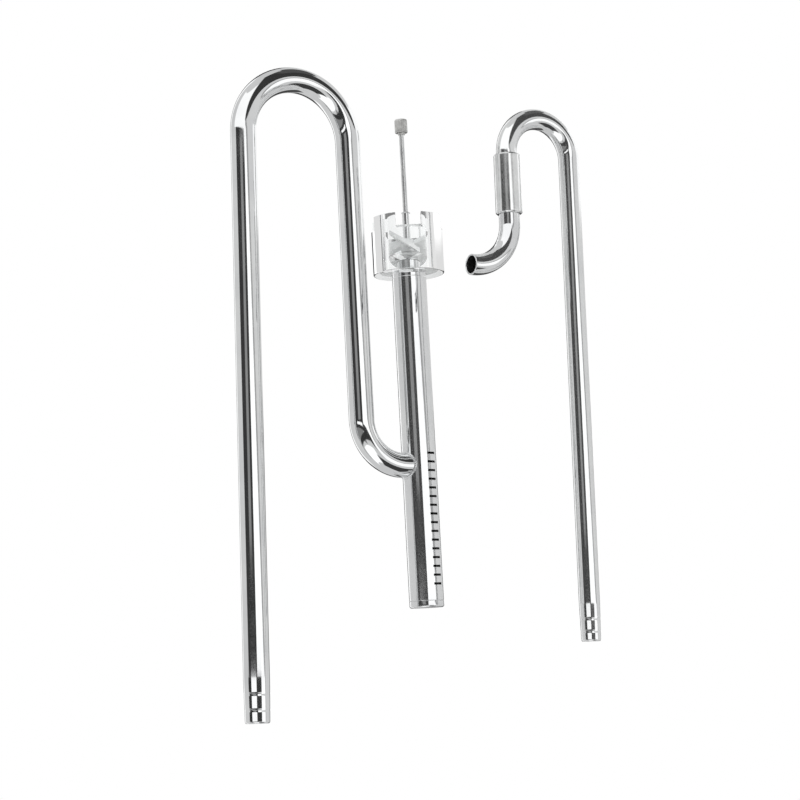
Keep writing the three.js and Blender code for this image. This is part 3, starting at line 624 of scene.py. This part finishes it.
barrel = {
    "outer": 11.0, "inner": 10.0, "top": -103.8, "bottom": -323.1, "lip": 0.12, "lipDrop": 0.072,
    "grooveTop": -113.0, "grooveWidth": 2.6, "grooveDepth": 0.16, "grooveSide": 0.3,
    "slots": 16, "slotFoot": 10.3, "slotPitch": 5.52, "slotHeight": 1.45, "slotWidth": 6.6, "slotTurn": 75.0,
    "columns": (24, 16, 36), "rows": 48,
}


def makeBarrel(p):
    # Columns run round the barrel, before, across and past the slots, with lines on the slots' sides
    spans = [np.linspace(k, k + 1, n, endpoint=False) for k, n in enumerate(p["columns"])]
    share = np.concatenate([*spans, [3.0]])
    sideOut = cutSide(p["slotWidth"], p["outer"])
    turns = []
    for side in (sideOut, cutSide(p["slotWidth"], p["inner"])):
        half = np.interp(share, np.arange(4), [0, p["slotTurn"] - side, p["slotTurn"] + side, 180])
        turns.append(np.radians(np.append(half, 360 - half[-2:0:-1])))
    # Rows: ends and lips, slot edges, the rolled groove and even steps between
    low, high, lip, width, side = p["bottom"], p["top"], p["lip"], p["grooveWidth"], p["grooveSide"]
    slotZ = low + p["slotFoot"] + np.arange(p["slots"]) * p["slotPitch"]
    steps = np.linspace(0, side, 6)
    guards = [-guardGap, side + guardGap, width + guardGap, width - side - guardGap]
    even = np.linspace(low, high, p["rows"])
    even = even[np.abs(even[:, None] - slotZ).min(1) > p["slotHeight"]]
    z = np.unique(np.round(np.concatenate([
        [low, high, low + lip, high - lip, low + lip + guardGap, high - lip - guardGap],
        slotZ - p["slotHeight"] / 2, slotZ + p["slotHeight"] / 2,
        p["grooveTop"] - np.concatenate([steps, width - steps, guards]), even]), 5))[:, None]
    # The groove has a flat bottom; over each short side the wall falls by depth * t^2 (3 - 2t)
    fall = np.clip((width / 2 - np.abs(z - (p["grooveTop"] - width / 2))) / side, 0, 1)
    drawn = p["grooveDepth"] * fall ** 2 * (3 - 2 * fall)
    eased = np.where(np.minimum(z - low, high - z) < lip / 2, p["lipDrop"], 0)
    middleZ = (z[:-1] + z[1:]) / 2
    middleTurn = np.degrees((turns[0] + np.append(turns[0][1:], 2 * np.pi)) / 2)
    inSlotZ = (np.abs(middleZ - slotZ) < p["slotHeight"] / 2).any(1, keepdims=True)
    away = np.minimum(np.abs(middleTurn - p["slotTurn"]), np.abs(360 - middleTurn - p["slotTurn"]))
    points, quads, uvs, finish = wallWithCuts(
        roundAxis(barrelAxis, p["outer"] - drawn - eased, turns[0], z),
        roundAxis(barrelAxis, p["inner"] - drawn, turns[1], z),
        ~(inSlotZ & (away < sideOut)), turns[0] * p["outer"])
    # Faces over the UV map's seam have their low corners carried on by a full turn
    halfway, u = np.pi * p["outer"] * mm, uvs[..., 0]
    overSeam = np.ptp(u, axis=1)[:, None] > halfway
    u += np.where(overSeam & (u < halfway), 2 * halfway, 0.0)
    shell = makeShell(points, quads, uvs, finish)
    addPiece("skimmer_barrel", [shell], [buffed, bore], sharp=28.0, leans=True)


makeBarrel(barrel)

endCap = {"radius": 11.0, "top": -323.4, "flange": 4.1, "edge": 1.3, "footRow": 6.0, "spigot": 9.7,
          "spigotLength": 7.0, "grooveRadius": 8.7, "grooveHalf": 1.0, "ease": 0.05}


def makeEndCap(p):
    # A turned plug: flat foot with a rounded edge, flange, then a spigot with a groove for its rubber ring
    bottom, top, e = p["top"] - p["flange"], p["top"] + p["spigotLength"], p["ease"]
    low, high = (p["top"] + p["spigotLength"] / 2 + side * p["grooveHalf"] for side in (-1, 1))
    foot = cornerArc(p["radius"] - p["edge"], bottom + p["edge"], p["edge"], -90, 0, 10)
    upper = roundedProfile([
        (p["radius"], p["top"], 0.12), (p["spigot"], p["top"], e), (p["spigot"], low, e),
        (p["grooveRadius"], low, e), (p["grooveRadius"], high, e), (p["spigot"], high, e),
        (p["spigot"], top, 0.3), (0.0, top, 0.0)], 4)
    last = np.argmin(np.linalg.norm(upper - np.array([0.0, top]), axis=1))
    guard = [[p["radius"], bottom + p["edge"] + guardGap]]
    rows = np.concatenate([[[0.0, bottom], [p["footRow"], bottom]], foot, guard, upper[:last + 1]])
    addTurned("barrel_end_cap", rows, 144, buffed)


makeEndCap(endCap)
print("barrel and end cap made")

crown = {
    "outer": 22.88, "inner": 19.0, "top": -76.2, "underside": -113.0, "floor": -102.0, "edge": 0.7,
    "throat": 9.0, "socket": 11.3, "socketTop": -103.5, "floorRow": 13.5, "floorEdge": 0.4,
    "notches": 4, "notchDepth": 8.6, "notchWidth": 16.5, "firstNotch": 242.0, "notchBlend": 6.0,
    "columns": (14, 16),    # across a notch and across a tooth
    "wallRows": 12, "toothRows": 6, "bevel": 0.35, "bevelAngle": 40.0,
}


def makeCrown(p):
    # Four notches of even width, whose sides lie a little further round on the inner wall than on the outer
    step, teethRows = 360 / p["notches"], p["toothRows"]
    share = np.concatenate([np.linspace(k, k + 1, n, endpoint=False) for k, n in enumerate(p["columns"])])
    starts = p["firstNotch"] + step * np.arange(p["notches"])[:, None]
    turnOut, turnIn = (
        np.radians((starts + np.interp(share, [0, 1, 2], [-side, side, step - side])).ravel())
        for side in (cutSide(p["notchWidth"], p["outer"]), cutSide(p["notchWidth"], p["inner"])))
    notchFloor, eased = p["top"] - p["notchDepth"], p["underside"] + p["edge"]
    # Outer wall: eased foot edge, then up. Inner wall: socket, throat, floor, then up.
    foot = cornerArc(p["outer"] - p["edge"], eased, p["edge"], -90, 0, 10)
    teeth = np.linspace(notchFloor, p["top"], teethRows + 1)[1:]
    side = np.append(np.linspace(eased + guardGap, notchFloor, p["wallRows"]), teeth)
    outer = np.concatenate([foot, np.stack([np.full(len(side), p["outer"]), side], -1)])
    inside = np.array([
        (p["socket"], p["underside"]), (p["socket"], p["socketTop"]), (p["throat"], p["socketTop"]),
        (p["throat"], p["floor"]), (p["floorRow"], p["floor"]), (p["inner"] - p["floorEdge"], p["floor"])])
    rise = np.linspace(p["floor"] + p["floorEdge"], notchFloor, len(outer) - teethRows - len(inside))
    wall = np.append(rise, teeth)
    inner = np.concatenate([inside, np.stack([np.full(len(wall), p["inner"]), wall], -1)])
    # Below the notches the inner columns stand square behind the outer ones
    blend = np.clip((outer[:, 1:] - (notchFloor - p["notchBlend"])) / p["notchBlend"], 0, 1)
    innerTurn = turnOut + (turnIn - turnOut) * blend
    inNotch = np.arange(len(turnOut)) % len(share) < p["columns"][0]
    inTeeth = np.arange(len(outer) - 1)[:, None] >= len(outer) - 1 - teethRows
    points, quads, uvs, _ = wallWithCuts(
        roundAxis(barrelAxis, outer[:, :1], turnOut, outer[:, 1:]),
        roundAxis(barrelAxis, inner[:, :1], innerTurn, inner[:, 1:]),
        ~(inTeeth & inNotch), turnOut * p["outer"])
    shell = makeShell(points, quads, uvs)
    piece = addPiece("skimmer_crown", [shell], [acrylic], leans=True)
    # The barrel's mirror stays clean right up to the crown, and light passes the clear wall freely
    piece.visible_glossy, piece.visible_diffuse, piece.visible_shadow = False, False, False
    bevel = piece.modifiers.new("easedEdges", "BEVEL")
    bevel.width, bevel.segments, bevel.limit_method = p["bevel"] * mm, 2, "ANGLE"
    bevel.angle_limit = math.radians(p["bevelAngle"])


makeCrown(crown)

vaneInsert = {
    "hubBore": 2.7, "hubOuter": 4.2, "hubBottom": -97.8, "hubTop": -89.4, "shoulder": -96.8, "rodHole": 1.8,
    "vanes": 3, "thickness": 2.5, "pitch": 32.0, "span": 74.0, "firstVane": 229.0, "rim": 18.7,
    "middle": -93.194, "edge": 0.3, "innerEdge": 0.05, "glueGap": 0.02, "steps": 25,
}


def makeVaneInsert(p):
    hub = roundedProfile([
        (p["rodHole"], p["hubBottom"], 0.15), (p["hubOuter"], p["hubBottom"], 0.3),
        (p["hubOuter"], p["hubTop"], 0.3), (p["hubBore"], p["hubTop"], 0.2),
        (p["hubBore"], p["shoulder"], 0.1), (p["rodHole"], p["shoulder"], 0.1)])
    shells = [turnedShell(hub, barrelAxis, 72)]
    # A vane is a rounded bar section (reach, rise) carried round the axis: at azimuth t off its middle line
    # it falls by reach * sin t * tan(pitch); the section shrinks to a point at both ends to close them
    pitch, half = math.radians(p["pitch"]), math.radians(p["span"] / 2)
    rise, near, edge = p["thickness"] / 2 / math.cos(pitch), p["hubOuter"] + p["glueGap"], p["edge"]
    section = roundedProfile([(near, -rise, p["innerEdge"]), (p["rim"], -rise, edge), (p["rim"], rise, edge),
                              (near, rise, p["innerEdge"])])
    core = section.mean(0)
    ease, small, full = edge / p["rim"], 1 - edge / rise, 1 - edge / rise / 3
    sweep = np.linspace(-half + ease, half - ease, p["steps"])
    turn = np.concatenate([[-half, -half, -half + ease / 3], sweep, [half - ease / 3, half, half]])[:, None]
    size = np.concatenate([[0.0, small, full], np.ones(p["steps"]), [full, small, 0.0]])[:, None]
    reach = np.where(size > 0, section[:, 0], core[0])
    lift = core[1] + (section[:, 1] - core[1]) * size
    heights = p["middle"] - reach * np.sin(turn) * math.tan(pitch) + lift
    for i in range(p["vanes"]):
        azimuth = math.radians(p["firstVane"] + 360 * i / p["vanes"]) + turn
        points = roundAxis(barrelAxis, reach, azimuth, heights)
        shells.append(gridShell(points, turn[:, 0] * p["rim"], travelled(section)))
    addPiece("vane_insert", shells, [milky], leans=True)


makeVaneInsert(vaneInsert)
print("crown and vane insert made")

guide = {"bore": 1.7, "radius": 2.4, "bottom": -95.4, "top": -72.0, "lip": 0.4}


def makeGuide(p):
    # A thin sleeve with a small rounded bead round its upper end
    bead = cornerArc(p["radius"], p["top"] - p["lip"], p["lip"], -90, 90, 9)
    foot = [[p["bore"], p["bottom"]], [p["radius"], p["bottom"]]]
    addTurned("rod_guide_sleeve", np.concatenate([foot, bead, [[p["bore"], p["top"]]]]), 64, steel)


makeGuide(guide)

throttle = {
    "rodRadius": 1.62, "rodBottom": -116.867, "rodTop": -14.7, "chamfer": 0.3, "rodHole": 1.65,
    "knobRadius": 4.15, "knobBottom": -19.0, "knobHeight": 8.6, "knobChamfer": 0.3, "knobFlutes": 24,
    "fluteDepth": 0.161, "fluteShape": 0.6, "neckRadius": 2.25, "neckHeight": 1.4, "neckEdge": 0.2,
    "holeTop": -14.4, "dimple": (1.2, 0.08),
    "collarRadius": 2.9, "collarBottom": -106.667, "collarTop": -104.667,
    "plugRadius": 9.3, "plugTopRadius": 3.9, "plugTop": -106.967, "plugRim": -109.967, "plugBottom": -112.967,
    "nutAcross": 5.5, "nutBottom": -115.667, "nutHeight": 2.4, "nutRows": (0.0, 0.0, 0.12, 0.25, 0.4),
    "nutReach": 3.0,    # marks the outer rows, whose true radius the flats give
    "nutFace": 1.08, "nutSlope": 1.7,    # end faces' radius as a share of half, and how it grows with height
}


def makeThrottle(p):
    hole = p["rodHole"]
    rod = roundedProfile([(0.0, p["rodBottom"], 0.0), (p["rodRadius"], p["rodBottom"], p["chamfer"]),
                          (p["rodRadius"], p["rodTop"], p["chamfer"]), (0.0, p["rodTop"], 0.0)])
    addTurned("adjusting_rod", rod, 64, ground, "throttle")

    # Knob: a turned profile cut by flutes, r - depth (1 - |cos(n t / 2)|^shape), fading at the chamfers
    bottom, radius, c = p["knobBottom"], p["knobRadius"], p["knobChamfer"]
    top = bottom + p["knobHeight"]
    neck, foot, edge = p["neckRadius"], bottom - p["neckHeight"], p["neckEdge"]
    lower = np.stack([np.linspace(radius - c, radius, 5), np.linspace(bottom, bottom + c, 5)], -1)
    side = np.stack([np.full(7, radius), np.linspace(bottom + c, top - c, 9)[1:-1]], -1)
    upper = np.stack([np.linspace(radius, radius - c, 5), np.linspace(top - c, top, 5)], -1)
    rows = np.concatenate([
        [[hole, foot], [neck - edge, foot], [neck, foot + edge], [neck, bottom], [radius - c - 0.5, bottom]],
        lower, side, upper,
        [[radius - c - 0.6, top], [p["dimple"][0], top], [0.0, top - p["dimple"][1]], [0.0, p["holeTop"]],
         [hole, p["holeTop"]]]])

    def flutes(turn, reach, height):
        hollow = 1 - np.abs(np.cos(p["knobFlutes"] * turn / 2)) ** p["fluteShape"]
        return reach - p["fluteDepth"] * hollow * np.clip((reach - (radius - c)) / c, 0, 1)

    addTurned("adjuster_knob", rows, p["knobFlutes"] * 10, satin, "throttle", sharp=50.0,
              ripple=flutes)

    outer, low, high = p["collarRadius"], p["collarBottom"], p["collarTop"]
    collar = roundedProfile([
        (hole, low, 0.15), (outer, low, 0.25), (outer, high, 0.25), (hole, high, 0.15)], 4)
    addTurned("rod_stop_collar", collar, 64, steel, "throttle")

    outer, low, high = p["plugRadius"], p["plugBottom"], p["plugTop"]
    plug = roundedProfile([(hole, low, 0.2), (outer, low, 0.4), (outer, p["plugRim"], 0.4),
                           (p["plugTopRadius"], high, 0.4), (hole, high, 0.2)])
    addTurned("throttle_plug", plug, 96, acetal, "throttle")

    # Nut: six flats, reach = half across / cos(angle from the nearest flat's middle), eased at top and bottom
    half, low, high = p["nutAcross"] / 2, p["nutBottom"], p["nutBottom"] + p["nutHeight"]

    def flats(turn, reach, height):
        hexagon = half / np.cos((turn % (np.pi / 3)) - np.pi / 6)
        cut = half * p["nutFace"] + np.minimum(height - low, high - height) * p["nutSlope"]
        return np.where(reach > hole, np.minimum(hexagon, cut), reach)

    rise = np.array(p["nutRows"])
    z = np.append(low + rise, high - rise[::-1])
    r = np.pad(np.full(len(z) - 2, p["nutReach"]), 1, constant_values=hole)
    addTurned("plug_nut", np.stack([r, z], -1), 96, steel, "throttle", sharp=25.0, ripple=flats)


makeThrottle(throttle)
print("rod, knob and throttle made")

# What polished metal mirrors: a light grey tent with dark cards, white openings and their edges.
# Angles are degrees; across counts from the camera's side, positive to its right, and up from level.
tent = {
    "wall": 0.72,         # its brightness where no panel stands
    "facing": -121.3,     # direction of the camera from the object, from +X
    "veil": 0.2,          # how much paler the tent is through clear material
    "soft": 0.88,         # brightness that matt surfaces are lit by
    "edgeShare": 0.2,     # softness of a panel's lower and upper edge beside that of its sides
    "panels": [
        # across from, to, up from, to, slant of the lower and upper edge, brightness, softness
        (-65, 12, 0.42, 22, 0, 0.045, 2),
        (-28, -7, 4, 15.5, 0, 0.3, 5),
        (12, 80, 0.42, 20, 0, 1.35, 2),
        (30, 110, 3.7, 23.7, -0.33, 0.76, 3),
        (22, 90, 6.7, 11.2, -0.33, 0.4, 2),
        (-71, -42, -3.5, 0.42, 0, 0.035, 2),
        (-42, 3, -3.5, 0.42, 0, 1.3, 2),
        (3, 50, -3.5, 0.42, 0, 0.05, 2),
        (-60, 45, -9, -3.5, 0, 0.045, 2),
        (47, 84, -17, 0.5, 0, 1.3, 3),
        (-70, 0, -28, -9, 0, 0.25, 4),
        (-60, 30, -26, -16, 0.35, 0.04, 3),
        (-48, 26, -68, -32, 0.3, 1.35, 4),
        (22, 85, -66, -32, 0, 0.05, 5),
        (-80, 23, 16.8, 60, -0.03, 1.25, 3),
        (20, 100, 20, 78, 0, 0.045, 5),
        (60, 150, 52, 76, 0, 0.09, 8),
        (100, 165, 13, 31, 0, 1.2, 5),
        (-179, -150, -30, 55, 0, 0.05, 8),
        (-150, -132, -40, 60, 0, 1.3, 5),
        (152, 179, -60, 8, 0, 0.06, 8),
    ],
}


def makeWorld(p):
    world = bpy.data.worlds.new("studioTent")
    scene.world = world
    world.use_nodes = True
    tree = world.node_tree
    tree.nodes.clear()
    place = addNode(tree, "TexCoord").outputs["Generated"]
    turnedRound = addNode(tree, "VectorRotate",
                          {"rotation_type": "Z_AXIS", "Angle": math.radians(-p["facing"])}, {"Vector": place})
    parts = addNode(tree, "SeparateXYZ", {}, {"Vector": turnedRound}).outputs
    across = addNode(tree, "Math", {"operation": "ARCTAN2"}, {0: parts["Y"], 1: parts["X"]})
    rise = addNode(tree, "Math", {"operation": "ARCSINE"}, {0: parts["Z"]})
    across, rise = (addNode(tree, "Math", {"operation": "DEGREES"}, {0: angle}) for angle in (across, rise))
    light = addNode(tree, "Value")
    light.outputs[0].default_value = p["wall"]
    for left, right, low, high, slant, brightness, softness in p["panels"]:
        # Inside both ranges the panel covers what lies behind it; each edge fades over its softness
        fromMiddle = addNode(tree, "Math", {"operation": "SUBTRACT", 1: (left + right) / 2}, {0: across})
        sheared = addNode(tree, "Math", {"operation": "MULTIPLY_ADD", 1: -slant, 2: -(low + high) / 2},
                          {0: fromMiddle})
        lifted = addNode(tree, "Math", {"operation": "ADD"}, {0: sheared, 1: rise})
        within = []
        for offset, half, fade in ((fromMiddle, (right - left) / 2, softness),
                                   (lifted, (high - low) / 2, softness * p["edgeShare"])):
            away = addNode(tree, "Math", {"operation": "ABSOLUTE"}, {0: offset})
            within.append(addNode(tree, "MapRange", {
                "interpolation_type": "SMOOTHSTEP", "From Min": half + fade / 2, "From Max": half - fade / 2},
                {"Value": away}))
        cover = addNode(tree, "Math", {"operation": "MULTIPLY"}, {0: within[0], 1: within[1]})
        light = addNode(tree, "Mix", {"data_type": "FLOAT", 3: brightness}, {0: cover, 2: light})
    # Behind clear material the tent is paler, as hazy acrylic shows it
    path = addNode(tree, "LightPath").outputs
    behind = addNode(tree, "Math", {"operation": "GREATER_THAN", 1: 0.5}, {0: path["Transmission Depth"]})
    veil = addNode(tree, "Math", {"operation": "MULTIPLY", 1: p["veil"]}, {0: behind})
    veiled = addNode(tree, "Mix", {"data_type": "FLOAT", 3: 1.0}, {0: veil, 2: light})
    grey = addNode(tree, "CombineColor", {}, {"Red": veiled, "Green": veiled, "Blue": veiled})
    mirrored = addNode(tree, "Background", {"Strength": 1.0}, {"Color": grey})
    white, even = (addNode(tree, "Background", {"Color": toLinear("ffffff"), "Strength": strength})
                   for strength in (1.0, p["soft"]))
    # Mirrored rays see the tent, camera rays and those straight through the crown white; soft light is even
    straight = addNode(tree, "Math", {"operation": "LESS_THAN", 1: 0.5}, {0: path["Glossy Depth"]})
    through = addNode(tree, "Math", {"operation": "MULTIPLY"},
                      {0: path["Is Transmission Ray"], 1: straight})
    seen = addNode(tree, "Math", {"operation": "MAXIMUM"}, {0: path["Is Camera Ray"], 1: through})
    metal = addNode(tree, "Math", {"operation": "MAXIMUM"},
                    {0: path["Is Glossy Ray"], 1: path["Is Transmission Ray"]})
    unseen = addNode(tree, "MixShader", {}, {0: metal, 1: even, 2: mirrored})
    surface = addNode(tree, "MixShader", {}, {0: seen, 1: unseen, 2: white})
    addNode(tree, "OutputWorld", {}, {"Surface": surface})


makeWorld(tent)

studio = {
    "floorLevel": -760.0, "floorRadius": 2400.0, "floorSides": 96, "floorRings": 12,
    "paper": [(0.3, "f4f4f3"), (0.7, "f8f8f7")], "fibreCloud": 16.667, "paperRoughness": 0.9,
    "lampPlace": (-500.0, -1300.0, 900.0), "lampAim": (60.0, -30.0, -200.0),
    "lampSize": 900.0, "lampPower": 7.0,    # watts
}


def makeStudio(p):
    # Floor: a round sheet far below the hanging pipes, pale and matt, left out of the mirror reflections
    sides, rings, level = p["floorSides"], p["floorRings"], p["floorLevel"]
    turn = roundAngles(sides)
    reach = np.linspace(0, p["floorRadius"], rings + 1)[1:, None]
    points = np.concatenate([roundAxis((0.0, 0.0), reach, turn, level).reshape(-1, 3), [[0.0, 0.0, level]]])
    rim = np.arange(sides)
    spokes = np.stack([rim, (rim + 1) % sides, np.full(sides, rings * sides)], -1)
    mesh = bpy.data.meshes.new("paleFloor")
    mesh.from_pydata(points * mm, [], gridQuads(rings, sides)[:, ::-1].tolist() + spokes.tolist())
    # Matt paper: near white, with a faint cloudiness of its fibres
    material, tree = newMaterial("mattPaperFloor")
    place = addNode(tree, "TexCoord").outputs["Object"]
    fibre = addNode(tree, "TexNoise", {"Scale": 1000 / p["fibreCloud"], "Detail": 3.0}, {"Vector": place})
    tone = addNode(tree, "ValToRGB", {"stops": p["paper"]}, {"Fac": fibre})
    shader = addNode(tree, "BsdfPrincipled", {"Roughness": p["paperRoughness"]}, {"Base Color": tone})
    addNode(tree, "OutputMaterial", {}, {"Surface": shader})
    mesh.materials.append(material)
    floor = newObject("paleFloor", mesh)
    floor.visible_glossy = floor.visible_transmission = False
    # One large soft lamp from the camera's side gives matt pieces a direction; metal mirrors the tent instead
    light = bpy.data.lights.new("softLamp", "AREA")
    light.shape, light.size, light.energy = "DISK", p["lampSize"] * mm, p["lampPower"]
    lamp = newObject("softLamp", light)
    lamp.location = Vector(p["lampPlace"]) * mm
    lamp.rotation_euler = (Vector(p["lampAim"]) * mm - lamp.location).to_track_quat("-Z", "Y").to_euler()
    lamp.visible_glossy = False


makeStudio(studio)
print("studio made")
